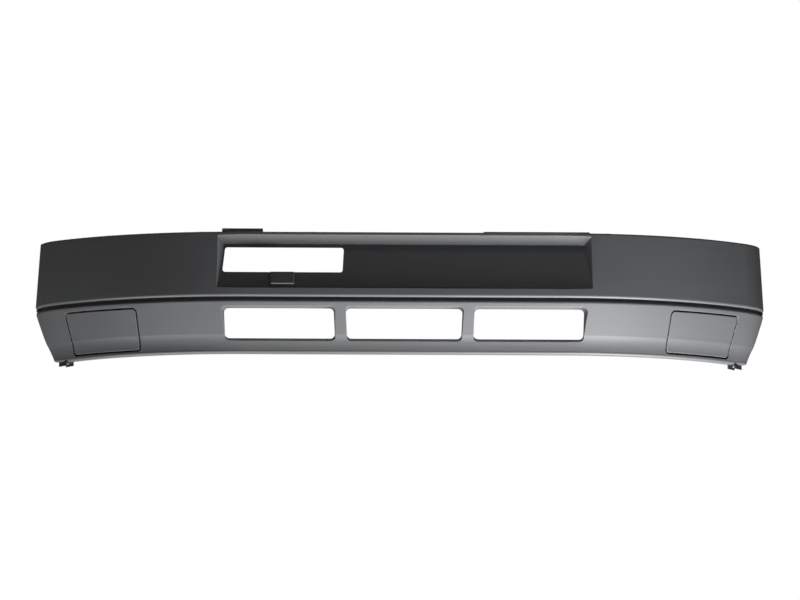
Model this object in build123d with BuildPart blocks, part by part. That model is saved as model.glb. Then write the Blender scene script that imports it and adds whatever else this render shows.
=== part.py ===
"""Front bumper cover of a light commercial van, about 1.98 m wide.

Frame: X runs across the van (+X to the viewer's right when facing the front), the front
faces -Y and +Z is up. The origin is at the middle of the bounding box, at its bottom.
Sections are drawn as (depth, rise): depth counts backwards from the foremost line of the
cover, rise counts upwards from the waist groove between the band and the valance.
"""
from build123d import *
import os
from math import cos, radians, sin, tan

# ---------------------------------------------------------------- driving dimensions (mm)
OVERALL_DEPTH = 345.0          # foremost line to the back of the chassis brackets
FRONT_Y = -OVERALL_DEPTH / 2
WAIST_Z = 157.0                # height of the waist groove above the feet
WALL = 3.0                     # moulded wall

# plan of the front: straight, wide arc, corner arc, short straight side
FRONT_HALF = 434.5
SWEEP_RADIUS = 680.0
SWEEP_ANGLE = 48.0
CORNER_RADIUS = 190.0
CORNER_ANGLE = 34.0
SIDE_LENGTH = 18.0
CORNER_STEPS = 4               # sections of the valance through its corner
CORNER_TUCK = 0.6              # share of the valance's tuck that is left at the ends

# upper band
BAND_TOP = 180.0               # rise of the top edge
BAND_LEAN = 9.0                # how far the top edge lies behind the waist
BAND_FOOT_ROUND = 6.5
BAND_TOP_ROUND = 4.0
FLANGE_DEPTH = 34.0            # depth of the seam flange and of the top flange
GROOVE_HALF = 3.0              # half the height of the waist groove
GROOVE_DEPTH = 12.0

# number plate recess
RECESS_HALF = 511.0            # half width at the foremost plane
RECESS_BOTTOM = 26.4
RECESS_TOP = 175.6
RECESS_DRAFT = 25.5
FLOOR_FOOT = (6.4, 27.0)       # depth and rise of the recess floor at its lower edge
FLOOR_HEAD = (50.0, 151.5)     # and at its upper edge

# valance
VALANCE_TUCK = 24.0            # degrees that the upper face leans backwards
CREASE_RISE = -95.0
LOWER_ARC_START = 33.0         # degrees of lean just below the crease
LOWER_DEPTH = 13.7
LOWER_HEIGHT = 42.0
VALANCE_BOTTOM = -145.5
SHOULDER_ROUND = 7.0
LIP_ROUND = 6.5
LIP_FLANGE = 26.0
STOP_INSET = 2.2               # the groove is closed at its ends, this far behind the face
CREASE_DEPTH = (-GROOVE_HALF - CREASE_RISE) * tan(radians(VALANCE_TUCK))
HEAD_RISE = -10.0              # top of the plain face, under the shoulder
HEAD_DEPTH = CREASE_DEPTH * (-GROOVE_HALF - HEAD_RISE) / (-GROOVE_HALF - CREASE_RISE)
FOOT_RISE = CREASE_RISE - LOWER_HEIGHT
BODY_BACK = 80.0               # depth of the solid stand-ins that trim ducts, bosses and the pan

# lower air intakes
INTAKE_TOP = -21.0
INTAKE_LEAD_BOTTOM = -152.0    # where the bottom wall would meet the foremost plane
INTAKE_BACK_BOTTOM = -104.6
INTAKE_BACK = 58.0             # depth of the plane that all intake walls end in
INTAKE_DRAW = 3.0              # sideways draw of the inner walls
INTAKE_END_DRAW = 13.0         # sideways draw of the two end walls
INTAKE_WALL = 2.6
INTAKE_CORNER = 12.0
INTAKES = {                    # x of the top corners and of the bottom corners
    "left": ((-500.0, -188.0), (-487.0, -184.0)),
    "middle": ((-161.0, 161.0), (-157.0, 157.0)),
    "right": ((188.0, 500.0), (184.0, 487.0)),
}

# fog lamp blanking covers
COVER_MIDDLE = 35.6            # degrees round the wide arc
COVER_OUTLINE = ((-117.4, -20.0), (117.4, -20.0), (117.7, -135.0), (-102.6, -135.0))
COVER_CORNER = 12.0
COVER_GAP = 4.5
COVER_SKIRT = 14.0
APERTURE_FLANGE = 22.0
APERTURE_LEDGE = 9.0           # inward rim at the back of the aperture flange, which closes the gap
SKIRT_WALL = 2.4

# steel behind the cover
RAIL_DEPTH = 60.0
RAIL_BACK = 100.0
RAIL_BOTTOM = 14.0
RAIL_TOP = 60.0
RAIL_HALF = 600.0
RAIL_SHEET = 2.5
BOSS_X = (-560.0, -140.0, 140.0, 560.0)
BOSS_RISE = 45.0
BOSS_RADIUS = 12.0
INSERT_RADIUS = 5.5
INSERT_LENGTH = 20.0
INSERT_HOLE = 26.0             # depth of the blind hole in each boss
SCREW_INSET = 26.0             # seam and top flange screws behind the foremost line
SCREW_RADIUS = 2.4
SCREW_HOLE = 2.9
SCREW_HEAD = 4.5               # radius and height of a screw head
SCREW_HEAD_HIGH = 2.6
SEAM_SCREW_LENGTH = 16.0
FOOT_SCREW_LENGTH = 10.5
FIT = 0.1                      # radial clearance of a nut or insert on its screw
SPRING_NUT_WIDTH = 13.0
SPRING_NUT_SHEET = 1.2
SPRING_NUT_HUB = 4.0
SPRING_NUT_HIGH = 3.0
FOOT_NUT_FLATS = 8.0
FOOT_NUT_THICK = 3.6
BRACKET_X = 430.0
BRACKET_SHEET = 4.0
MOUNT_HOLE = 11.0
MOUNT_SPACING_X = 56.0
MOUNT_SPACING_Z = 50.0
MOUNT_RISE = 56.0              # rise of the middle of the chassis hole pattern

# end brackets, which are also the feet
FOOT_ANGLE = 60.0              # degrees round the plan
FOOT_INSET = 65.0
FOOT_LENGTH = 38.0
FOOT_WIDTH = 24.0
FOOT_SHEET = 2.5
FOOT_SCREW_PITCH = 16.0

os.makedirs("parts", exist_ok=True)


# ---------------------------------------------------------------- frame helpers
def at(depth, rise):
    """A (depth, rise) point in the coordinates of a sketch on Plane.YZ."""
    return (FRONT_Y + depth, WAIST_Z + rise)


def outward(angle):
    """Horizontal direction that the cover faces at an angle round its plan."""
    return Vector(sin(radians(angle)), -cos(radians(angle)), 0)


SWEEP_CENTRE = Vector(FRONT_HALF, FRONT_Y + SWEEP_RADIUS, 0)
CORNER_CENTRE = SWEEP_CENTRE + outward(SWEEP_ANGLE) * (SWEEP_RADIUS - CORNER_RADIUS)
SWEEP_AXIS = Axis(SWEEP_CENTRE, (0, 0, 1))
CORNER_AXIS = Axis(CORNER_CENTRE, (0, 0, 1))


def plan_frames(inset, rise, straight_x, angles):
    """Planes flat on the cover's flanges, X along the front, Y backwards, on both halves."""
    frames = []
    for x in straight_x:
        for side in (-1, 1):
            frames.append(Plane((side * x, FRONT_Y + inset, WAIST_Z + rise)))
    for angle in angles:
        spot = SWEEP_CENTRE + outward(angle) * (SWEEP_RADIUS - inset)
        for side in (-1, 1):
            along = (cos(radians(angle)), side * sin(radians(angle)), 0)
            frames.append(Plane((side * spot.X, spot.Y, WAIST_Z + rise), x_dir=along, z_dir=(0, 0, 1)))
    return frames


def seam_frames():
    """Places of the seam screws, on the joint face of the two mouldings."""
    return plan_frames(SCREW_INSET, GROOVE_HALF, (70.0, 210.0, 350.0), (14.0, 30.0, 45.0))


def top_frames():
    """Places of the clip nuts on the top flange."""
    return plan_frames(SCREW_INSET, BAND_TOP, (250.0,), (10.0, 34.0))


def foot_frames():
    """Planes under the bottom flange where the end brackets hang, left then right."""
    spot = CORNER_CENTRE + outward(FOOT_ANGLE) * (CORNER_RADIUS - FOOT_INSET)
    frames = []
    for side in (-1, 1):
        along = (cos(radians(FOOT_ANGLE)), side * sin(radians(FOOT_ANGLE)), 0)
        origin = (side * spot.X, spot.Y, WAIST_Z + VALANCE_BOTTOM)
        frames.append(Plane(origin, x_dir=along, z_dir=(0, 0, 1)))
    return frames


def run_front(section):
    """Extrude a section along the right half of the front, as far as the corner."""
    extrude(section, amount=FRONT_HALF)
    revolve(section.moved(Location((FRONT_HALF, 0, 0))), axis=SWEEP_AXIS, revolution_arc=SWEEP_ANGLE)


def to_corner(section):
    """The same section, carried to the start of the corner."""
    return section.moved(Location((FRONT_HALF, 0, 0))).rotate(SWEEP_AXIS, SWEEP_ANGLE)


def run_corner(section):
    """Carry one section round the corner and along the side."""
    start = to_corner(section)
    revolve(start, axis=CORNER_AXIS, revolution_arc=CORNER_ANGLE)
    extrude(start.rotate(CORNER_AXIS, CORNER_ANGLE), amount=SIDE_LENGTH)


# ---------------------------------------------------------------- shared tools
with BuildPart() as rear_trim:
    # everything behind the cut edge of the sides, which leans forward above and below the waist
    with BuildSketch(Plane.YZ) as trim_outline:
        with BuildLine():
            Polyline(at(344, -25), at(344, 10), at(316, 190), at(420, 190), at(420, -190), at(294, -190),
                     at(300, -140), at(344, -25))
        make_face()
    extrude(amount=1100, both=True)


def recess_block(grow, floor_shift):
    """Tapered block of the recess, cut off by the tilted floor plane."""
    run = Vector(0, FLOOR_HEAD[0] - FLOOR_FOOT[0], FLOOR_HEAD[1] - FLOOR_FOOT[1]).normalized()
    floor_normal = Vector(0, -run.Z, run.Y)
    floor_point = Vector(0, *at(*FLOOR_FOOT)) - floor_normal * floor_shift
    lead = 10.0
    flare = lead * tan(radians(RECESS_DRAFT)) + grow
    front = Plane((0, FRONT_Y - lead, WAIST_Z), x_dir=(-1, 0, 0), z_dir=(0, 1, 0))
    with BuildPart() as block:
        with BuildSketch(front):
            with Locations((0, (RECESS_TOP + RECESS_BOTTOM) / 2)):
                Rectangle(2 * (RECESS_HALF + flare), RECESS_TOP - RECESS_BOTTOM + 2 * flare)
        extrude(amount=90, taper=RECESS_DRAFT)
        split(bisect_by=Plane(floor_point, x_dir=(1, 0, 0), z_dir=floor_normal), keep=Keep.TOP)
    return block.part


with BuildSketch(Plane.YZ) as band_body_section:
    with BuildLine():
        FilletPolyline(at(BODY_BACK, GROOVE_HALF), at(0, GROOVE_HALF), at(BAND_LEAN, BAND_TOP),
                       at(BODY_BACK, BAND_TOP), radius=[BAND_FOOT_ROUND, BAND_TOP_ROUND])
        Line(at(BODY_BACK, BAND_TOP), at(BODY_BACK, GROOVE_HALF))
    make_face()

with BuildPart() as band_body:
    # solid stand-in for the band, from its outer face to well behind the recess
    run_front(band_body_section.sketch)
    mirror(about=Plane.YZ)

with BuildPart() as recess_pan:
    # the moulded tray of the recess, flush with the outer face of the band
    add(band_body.part)
    add(recess_block(WALL / cos(radians(RECESS_DRAFT)), WALL), mode=Mode.INTERSECT)

with BuildPart() as rail_bosses:
    # the moulded bosses that carry the stiffener rail, trimmed to the back of the wall
    for x in BOSS_X:
        with BuildSketch(Plane.XZ.offset(-FRONT_Y - RAIL_DEPTH)):
            with Locations((x, WAIST_Z + BOSS_RISE)):
                Circle(BOSS_RADIUS)
        extrude(amount=RAIL_DEPTH - 1)
    add(band_body.part, mode=Mode.INTERSECT)

# ---------------------------------------------------------------- upper cover
with BuildSketch(Plane.YZ) as band_section:
    with BuildLine():
        FilletPolyline(at(FLANGE_DEPTH, GROOVE_HALF), at(0, GROOVE_HALF), at(BAND_LEAN, BAND_TOP),
                       at(FLANGE_DEPTH, BAND_TOP), radius=[BAND_FOOT_ROUND, BAND_TOP_ROUND])
        offset(amount=WALL, side=Side.RIGHT)
    make_face()

UPPER_OPENING = ((-484.0, 141.0), (-163.5, 141.0), (-168.0, 71.5), (-493.0, 71.5))
UPPER_OPENING_CORNER = 7.0
PAD_CENTRE = (-331.5, 56.0)
PAD_SIZE = (66.0, 46.0)
PAD_HEIGHT = 10.0
TOP_RIBS = ((-438.5, 111.0, 9.0), (356.5, 287.0, 2.6))   # middle, length and height of each rib

with BuildPart() as upper_cover:
    run_front(band_section.sketch)
    run_corner(band_section.sketch)
    mirror(about=Plane.YZ)
    add(recess_pan.part)
    add(rail_bosses.part)
    add(recess_block(0, 0), mode=Mode.SUBTRACT)
    # small raised pad low on the recess floor, under the air opening
    floor_run = Vector(0, FLOOR_HEAD[0] - FLOOR_FOOT[0], FLOOR_HEAD[1] - FLOOR_FOOT[1]).normalized()
    pad_depth = FLOOR_FOOT[0] + (PAD_CENTRE[1] - FLOOR_FOOT[1]) * floor_run.Y / floor_run.Z
    pad_plane = Plane((PAD_CENTRE[0], *at(pad_depth, PAD_CENTRE[1])), x_dir=(1, 0, 0),
                      z_dir=(0, -floor_run.Z, floor_run.Y))
    with BuildSketch(pad_plane.offset(-1)):
        RectangleRounded(*PAD_SIZE, 3)
    extrude(amount=PAD_HEIGHT, taper=12)
    # air opening at the left of the recess floor
    with BuildSketch(Plane.XZ.offset(-FRONT_Y)):
        with Locations((0, WAIST_Z)):
            Polygon(*UPPER_OPENING, align=None)
        fillet(vertices(), UPPER_OPENING_CORNER)
    extrude(amount=-100, mode=Mode.SUBTRACT)
    # ribs that stand on the top edge
    for middle, length, height in TOP_RIBS:
        with BuildSketch(Plane.XY.offset(WAIST_Z + BAND_TOP - 1)):
            with Locations((middle, FRONT_Y + BAND_LEAN + BAND_TOP_ROUND + 2.5)):
                Rectangle(length, 3.5)
        extrude(amount=height + 1, taper=3)
    # blind holes of the threaded inserts
    for x in BOSS_X:
        with BuildSketch(Plane.XZ.offset(-FRONT_Y - RAIL_DEPTH)):
            with Locations((x, WAIST_Z + BOSS_RISE)):
                Circle(INSERT_RADIUS)
        extrude(amount=INSERT_HOLE, mode=Mode.SUBTRACT)
    # screw holes of the seam and of the top flange
    with Locations(*seam_frames()):
        Cylinder(SCREW_HOLE, 20, mode=Mode.SUBTRACT)
    with Locations(*top_frames()):
        Cylinder(SCREW_HOLE, 20, mode=Mode.SUBTRACT)
    add(rear_trim.part, mode=Mode.SUBTRACT)
upper_cover.part.label = "upper_cover"
export_step(upper_cover.part, "parts/upper_cover.step")

# ---------------------------------------------------------------- lower valance


def valance_face(shift, tuck=1.0, top=-GROOVE_HALF):
    """Face line of the valance from its top to the foot of its lower concave part."""
    crease = at(shift + CREASE_DEPTH * tuck, CREASE_RISE)
    foot = at(shift + (CREASE_DEPTH + LOWER_DEPTH) * tuck, FOOT_RISE)
    head_share = (-GROOVE_HALF - top) / (-GROOVE_HALF - CREASE_RISE)
    lean = radians(LOWER_ARC_START * tuck)
    Line(at(shift + CREASE_DEPTH * tuck * head_share, top), crease)
    TangentArc(crease, foot, tangent=(sin(lean), -cos(lean)))
    return foot


def valance_section(tuck):
    """Wall of the valance: seam flange, groove, shoulder, face, lip and bottom flange."""
    with BuildSketch(Plane.YZ) as section:
        with BuildLine() as skin:
            Polyline(at(FLANGE_DEPTH, GROOVE_HALF), at(GROOVE_DEPTH, GROOVE_HALF),
                     at(GROOVE_DEPTH, -GROOVE_HALF), at(0, -GROOVE_HALF))
            foot = valance_face(0, tuck)
            lip_depth = foot[0] - FRONT_Y - 0.5
            Polyline(foot, at(lip_depth, VALANCE_BOTTOM), at(lip_depth + LIP_FLANGE, VALANCE_BOTTOM))
            shoulder = skin.vertices().sort_by_distance((*at(0, -GROOVE_HALF), 0))[0]
            fillet(shoulder, SHOULDER_ROUND)
            lip = skin.vertices().sort_by_distance((*at(lip_depth, VALANCE_BOTTOM), 0))[0]
            fillet(lip, LIP_ROUND)
            offset(amount=WALL, side=Side.LEFT)
        make_face()
    return section.sketch


def face_band(near, far):
    """Closed region between two depths behind the valance face."""
    with BuildSketch(Plane.YZ) as region:
        with BuildLine():
            valance_face(near, top=HEAD_RISE)
            valance_face(far, top=HEAD_RISE)
            for depth_end, rise_end in ((HEAD_DEPTH, HEAD_RISE), (CREASE_DEPTH + LOWER_DEPTH, FOOT_RISE)):
                Line(at(near + depth_end, rise_end), at(far + depth_end, rise_end))
        make_face()
    return region.sketch


def intake_block(corners, grow):
    """Duct of one air intake; its walls draw in from the foremost plane to its back plane."""
    (top_left, top_right), (low_left, low_right) = corners
    draw_left = INTAKE_END_DRAW if top_left < -400 else INTAKE_DRAW
    draw_right = INTAKE_END_DRAW if top_right > 400 else INTAKE_DRAW
    front_outline = ((top_left, INTAKE_TOP), (top_right, INTAKE_TOP),
                     (low_right, INTAKE_LEAD_BOTTOM), (low_left, INTAKE_LEAD_BOTTOM))
    back_outline = ((top_left + draw_left, INTAKE_TOP - 2), (top_right - draw_right, INTAKE_TOP - 2),
                    (low_right - 3, INTAKE_BACK_BOTTOM), (low_left + 3, INTAKE_BACK_BOTTOM))
    with BuildPart() as block:
        for outline, depth in ((front_outline, 0.0), (back_outline, INTAKE_BACK)):
            with BuildSketch(Plane.XZ.offset(-FRONT_Y - depth)):
                with Locations((0, WAIST_Z)):
                    Polygon(*outline, align=None)
                fillet(vertices(), INTAKE_CORNER)
                if grow:
                    offset(amount=grow)
        loft(ruled=True)
    return block.part


def cover_plane():
    """Plane across the middle of the fog lamp cover: X along the front, Z straight outwards."""
    angle = radians(COVER_MIDDLE)
    spot = SWEEP_CENTRE + outward(COVER_MIDDLE) * SWEEP_RADIUS
    return Plane((spot.X, spot.Y, WAIST_Z), x_dir=(cos(angle), sin(angle), 0), z_dir=outward(COVER_MIDDLE))


def cover_prism(grow):
    """Straight prism on the outline of the lamp aperture, its walls parallel to the pull."""
    with BuildPart() as prism:
        with BuildSketch(cover_plane()):
            Polygon(*COVER_OUTLINE, align=None)
            fillet(vertices(), COVER_CORNER)
            if grow:
                offset(amount=grow)
        extrude(amount=110, both=True)
    return prism.part


def face_shell(near, far):
    """Part of the valance's wide arc that carries the lamp cover, between two depths."""
    start = 20.0
    section = face_band(near, far).moved(Location((FRONT_HALF, 0, 0))).rotate(SWEEP_AXIS, start)
    with BuildPart() as shell:
        revolve(section, axis=SWEEP_AXIS, revolution_arc=SWEEP_ANGLE - start)
    return shell.part


def prism_ring(outer, inner, near, far):
    """Upright wall between two prisms, between two depths behind the valance face."""
    with BuildPart() as ring:
        add(face_shell(near, far))
        add(cover_prism(outer), mode=Mode.INTERSECT)
        add(cover_prism(inner), mode=Mode.SUBTRACT)
    return ring.part


with BuildSketch(Plane.YZ) as valance_body_section:
    with BuildLine():
        lowest = valance_face(0, top=HEAD_RISE)
        Polyline(lowest, at(BODY_BACK, FOOT_RISE), at(BODY_BACK, HEAD_RISE), at(HEAD_DEPTH, HEAD_RISE))
    make_face()

with BuildPart() as valance_body:
    # solid stand-in for the valance, from its face to well behind the air intakes
    run_front(valance_body_section.sketch)
    mirror(about=Plane.YZ)

with BuildPart() as intake_ducts:
    # walls of the three air intakes, trimmed to the face of the valance
    for intake in INTAKES.values():
        add(intake_block(intake, INTAKE_WALL))
    add(valance_body.part, mode=Mode.INTERSECT)

with BuildSketch(Plane.YZ) as groove_stop_section:
    with BuildLine():
        Polyline(at(STOP_INSET, -GROOVE_HALF - 1), at(GROOVE_DEPTH + 1, -GROOVE_HALF - 1),
                 at(GROOVE_DEPTH + 1, GROOVE_HALF), at(STOP_INSET, GROOVE_HALF),
                 at(STOP_INSET, -GROOVE_HALF - 1))
    make_face()

with BuildPart() as lower_valance:
    run_front(valance_section(1.0))
    corner_sections = []
    for step in range(CORNER_STEPS + 1):
        share = step / CORNER_STEPS
        ease = share * share * (3 - 2 * share)
        section = to_corner(valance_section(1 - (1 - CORNER_TUCK) * ease))
        corner_sections.append(section.rotate(CORNER_AXIS, CORNER_ANGLE * share).faces()[0])
    loft(corner_sections)
    extrude(corner_sections[-1], amount=SIDE_LENGTH)
    # moulded stop that closes the waist groove along the side
    extrude(to_corner(groove_stop_section.sketch).rotate(CORNER_AXIS, CORNER_ANGLE), amount=SIDE_LENGTH)
    # lamp aperture, then its flange and the ledge behind the gap
    add(cover_prism(0), mode=Mode.SUBTRACT)
    add(prism_ring(SKIRT_WALL, 0, 0, APERTURE_FLANGE))
    add(prism_ring(SKIRT_WALL, -APERTURE_LEDGE, APERTURE_FLANGE - SKIRT_WALL, APERTURE_FLANGE))
    mirror(about=Plane.YZ)
    # the three air intakes
    add(intake_ducts.part)
    for intake in INTAKES.values():
        add(intake_block(intake, 0), mode=Mode.SUBTRACT)
    with Locations(*seam_frames()):
        Cylinder(SCREW_HOLE, 20, mode=Mode.SUBTRACT)
    for frame in foot_frames():
        with Locations(frame):
            with GridLocations(FOOT_SCREW_PITCH, 0, 2, 1):
                Cylinder(SCREW_HOLE, 16, mode=Mode.SUBTRACT)
    add(rear_trim.part, mode=Mode.SUBTRACT)
lower_valance.part.label = "lower_valance"
export_step(lower_valance.part, "parts/lower_valance.step")

# ---------------------------------------------------------------- fog lamp blanking covers
PLATE_DEPTH = 3.4              # depth of the plate, about 3 mm square to its face

with BuildPart() as fog_cover_right:
    add(face_shell(0, PLATE_DEPTH))
    add(cover_prism(-COVER_GAP), mode=Mode.INTERSECT)
    add(prism_ring(-COVER_GAP, -COVER_GAP - SKIRT_WALL, PLATE_DEPTH - 0.5, COVER_SKIRT))
fog_cover_right.part.label = "fog_cover_right"
export_step(fog_cover_right.part, "parts/fog_cover_right.step")

with BuildPart() as fog_cover_left:
    mirror(fog_cover_right.part, about=Plane.YZ)
fog_cover_left.part.label = "fog_cover_left"
export_step(fog_cover_left.part, "parts/fog_cover_left.step")

# spring clips on the skirt: each grips the skirt's rear edge and bows out into the gap
CLIP_X = 55.0
CLIP_WIDTH = 12.0
CLIP_SHEET = 0.8


def clip_outline(back, skirt_face, side):
    """Side outline of a spring clip; side is 1 above the cover's middle and -1 below it."""
    bow = COVER_GAP - 0.6
    grip = back + CLIP_SHEET
    steps = ((back, -SKIRT_WALL - CLIP_SHEET), (back, CLIP_SHEET), (grip + 3, CLIP_SHEET),
             (grip + 6, bow), (grip + 8, bow), (grip + 11, CLIP_SHEET), (grip + 13, CLIP_SHEET),
             (grip + 13, 0), (grip, 0), (grip, -SKIRT_WALL), (grip + 9, -SKIRT_WALL),
             (grip + 9, -SKIRT_WALL - CLIP_SHEET))
    return [(out, skirt_face + side * lift) for out, lift in steps]


with BuildPart() as fog_cover_clips_right:
    frame = cover_plane()
    for side, skirt_face, back in ((1, -20.0 - COVER_GAP, -28.4), (-1, -135.0 + COVER_GAP, -72.8)):
        for x in (-CLIP_X, CLIP_X):
            middle = frame.origin + frame.x_dir * x
            with BuildSketch(Plane(middle, x_dir=frame.z_dir, z_dir=-frame.x_dir)):
                Polygon(*clip_outline(back, skirt_face, side), align=None)
            extrude(amount=CLIP_WIDTH / 2, both=True)
fog_cover_clips_right.part.label = "fog_cover_clips_right"
export_step(fog_cover_clips_right.part, "parts/fog_cover_clips_right.step")

with BuildPart() as fog_cover_clips_left:
    mirror(fog_cover_clips_right.part, about=Plane.YZ)
fog_cover_clips_left.part.label = "fog_cover_clips_left"
export_step(fog_cover_clips_left.part, "parts/fog_cover_clips_left.step")

# ---------------------------------------------------------------- stiffener rail and its bolts
RAIL_BOLT_RADIUS = 4.0
RAIL_BOLT_FLATS = 13.0
RAIL_BOLT_HEAD = 5.3
WASHER_RADIUS = 10.0
BOLT_POINT = 0.8               # chamfer at the tip of the bolts
RAIL_BEND = 2.0                # bend radius of the rail's folds
LOOM_SLOT = (90.0, 20.0)       # lightening slots in the rail's web
LOOM_SLOT_X = (-280.0, 0.0, 280.0)
HOLE_PLAY = 0.5                # radial clearance of the bolt holes
RAIL_BOLT_REACH = 24.0         # how far a rail bolt goes into its insert
WASHER_THICK = 1.6
BRACKET_BOLT_RADIUS = 5.0
BRACKET_BOLT_FLATS = 16.0
BRACKET_BOLT_HEAD = 6.4
BRACKET_BOLT_LENGTH = 19.0
BRACKET_NUT_THICK = 8.0
BRACKET_BOLT_X = 20.0
BRACKET_BOLT_RISE = 37.0
RAIL_WEB_BACK = RAIL_DEPTH + RAIL_SHEET
PLATE_BACK = RAIL_WEB_BACK + BRACKET_SHEET


def rear_plane(depth):
    """Plane at a depth, X across the van, Y up from the waist, Z forwards."""
    return Plane((0, FRONT_Y + depth, WAIST_Z), x_dir=(1, 0, 0), z_dir=(0, -1, 0))


def hexagon(across_flats):
    """Regular hexagon with two flats level, on the current sketch."""
    RegularPolygon(across_flats / 2, 6, major_radius=False, rotation=30)


with BuildPart() as stiffener_rail:
    with BuildSketch(Plane.YZ):
        with BuildLine():
            Polyline(at(RAIL_BACK, RAIL_BOTTOM), at(RAIL_DEPTH, RAIL_BOTTOM), at(RAIL_DEPTH, RAIL_TOP),
                     at(RAIL_BACK, RAIL_TOP))
            offset(amount=RAIL_SHEET, side=Side.RIGHT)
        make_face()
    extrude(amount=RAIL_HALF, both=True)
    corners = stiffener_rail.edges().filter_by(Axis.X).group_by(Axis.Y)[0]
    fillet(corners, RAIL_BEND)
    with BuildSketch(rear_plane(RAIL_WEB_BACK)):
        for x in BOSS_X:
            with Locations((x, BOSS_RISE)):
                Circle(RAIL_BOLT_RADIUS + HOLE_PLAY)
        for x in (-BRACKET_X, BRACKET_X):
            with Locations((x - BRACKET_BOLT_X, BRACKET_BOLT_RISE), (x + BRACKET_BOLT_X, BRACKET_BOLT_RISE)):
                Circle(BRACKET_BOLT_RADIUS + HOLE_PLAY)
        for x in LOOM_SLOT_X:
            with Locations((x, BRACKET_BOLT_RISE)):
                SlotOverall(*LOOM_SLOT)
    extrude(amount=10, both=True, mode=Mode.SUBTRACT)
stiffener_rail.part.label = "stiffener_rail"
export_step(stiffener_rail.part, "parts/stiffener_rail.step")

with BuildPart() as boss_inserts:
    with BuildSketch(rear_plane(RAIL_DEPTH)):
        for x in BOSS_X:
            with Locations((x, BOSS_RISE)):
                Circle(INSERT_RADIUS)
                Circle(RAIL_BOLT_RADIUS + FIT, mode=Mode.SUBTRACT)
    extrude(amount=INSERT_LENGTH)
boss_inserts.part.label = "boss_inserts"
export_step(boss_inserts.part, "parts/boss_inserts.step")

with BuildPart() as rail_washers:
    with BuildSketch(rear_plane(RAIL_WEB_BACK + WASHER_THICK)):
        for x in BOSS_X:
            with Locations((x, BOSS_RISE)):
                Circle(WASHER_RADIUS)
                Circle(RAIL_BOLT_RADIUS + 3 * FIT, mode=Mode.SUBTRACT)
    extrude(amount=WASHER_THICK)
rail_washers.part.label = "rail_washers"
export_step(rail_washers.part, "parts/rail_washers.step")

with BuildPart() as rail_bolts:
    for x in BOSS_X:
        with BuildSketch(rear_plane(RAIL_WEB_BACK + WASHER_THICK)):
            with Locations((x, BOSS_RISE)):
                hexagon(RAIL_BOLT_FLATS)
        extrude(amount=-RAIL_BOLT_HEAD)
        with BuildSketch(rear_plane(RAIL_WEB_BACK + WASHER_THICK)):
            with Locations((x, BOSS_RISE)):
                Circle(RAIL_BOLT_RADIUS)
        extrude(amount=RAIL_WEB_BACK + WASHER_THICK - RAIL_DEPTH + RAIL_BOLT_REACH)
    chamfer(rail_bolts.faces().group_by(Axis.Y)[0].edges(), BOLT_POINT)
rail_bolts.part.label = "rail_bolts"
export_step(rail_bolts.part, "parts/rail_bolts.step")

# ---------------------------------------------------------------- chassis brackets
ARM_FLANGE = 26.0
ARM_HEAD = 92.0                # rise of the arm's top edge at its rear plate

with BuildPart() as chassis_bracket_right:
    with BuildSketch(rear_plane(PLATE_BACK)):
        with Locations((BRACKET_X, BRACKET_BOLT_RISE)):
            Rectangle(62, 38)
    extrude(amount=BRACKET_SHEET)
    with BuildSketch(rear_plane(OVERALL_DEPTH)):
        with Locations((BRACKET_X, MOUNT_RISE)):
            RectangleRounded(86, 84, 8)
    extrude(amount=BRACKET_SHEET)
    rear_face = OVERALL_DEPTH - BRACKET_SHEET
    with BuildSketch(Plane.YZ.offset(BRACKET_X)):
        Polygon(at(PLATE_BACK, 18), at(rear_face, 20), at(rear_face, ARM_HEAD), at(115, 56), at(PLATE_BACK, 56),
                align=None)
        with Locations(at(240, 48)):
            SlotOverall(110, 24, mode=Mode.SUBTRACT)
    extrude(amount=BRACKET_SHEET / 2, both=True)
    # folded flange along the sloping top edge of the arm
    with BuildSketch(Plane.YZ.offset(BRACKET_X)):
        Polygon(at(115, 56), at(rear_face, ARM_HEAD), at(rear_face, ARM_HEAD - BRACKET_SHEET),
                at(115, 56 - BRACKET_SHEET), align=None)
    extrude(amount=ARM_FLANGE / 2, both=True)
    with BuildSketch(rear_plane(PLATE_BACK)):
        with Locations((BRACKET_X, BRACKET_BOLT_RISE)):
            with GridLocations(2 * BRACKET_BOLT_X, 0, 2, 1):
                Circle(BRACKET_BOLT_RADIUS + HOLE_PLAY)
    extrude(amount=10, both=True, mode=Mode.SUBTRACT)
    with BuildSketch(rear_plane(OVERALL_DEPTH)):
        with Locations((BRACKET_X, MOUNT_RISE)):
            with GridLocations(MOUNT_SPACING_X, MOUNT_SPACING_Z, 2, 2):
                Circle(MOUNT_HOLE / 2)
    extrude(amount=10, both=True, mode=Mode.SUBTRACT)
chassis_bracket_right.part.label = "chassis_bracket_right"
export_step(chassis_bracket_right.part, "parts/chassis_bracket_right.step")

with BuildPart() as chassis_bracket_left:
    mirror(chassis_bracket_right.part, about=Plane.YZ)
chassis_bracket_left.part.label = "chassis_bracket_left"
export_step(chassis_bracket_left.part, "parts/chassis_bracket_left.step")

BRACKET_BOLTS_X = [side * BRACKET_X + step for side in (-1, 1) for step in (-BRACKET_BOLT_X, BRACKET_BOLT_X)]

with BuildPart() as bracket_bolts:
    for x in BRACKET_BOLTS_X:
        with BuildSketch(rear_plane(RAIL_DEPTH)):
            with Locations((x, BRACKET_BOLT_RISE)):
                hexagon(BRACKET_BOLT_FLATS)
        extrude(amount=BRACKET_BOLT_HEAD)
        with BuildSketch(rear_plane(RAIL_DEPTH)):
            with Locations((x, BRACKET_BOLT_RISE)):
                Circle(BRACKET_BOLT_RADIUS)
        extrude(amount=-BRACKET_BOLT_LENGTH)
    chamfer(bracket_bolts.faces().group_by(Axis.Y)[-1].edges(), BOLT_POINT)
bracket_bolts.part.label = "bracket_bolts"
export_step(bracket_bolts.part, "parts/bracket_bolts.step")

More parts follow.
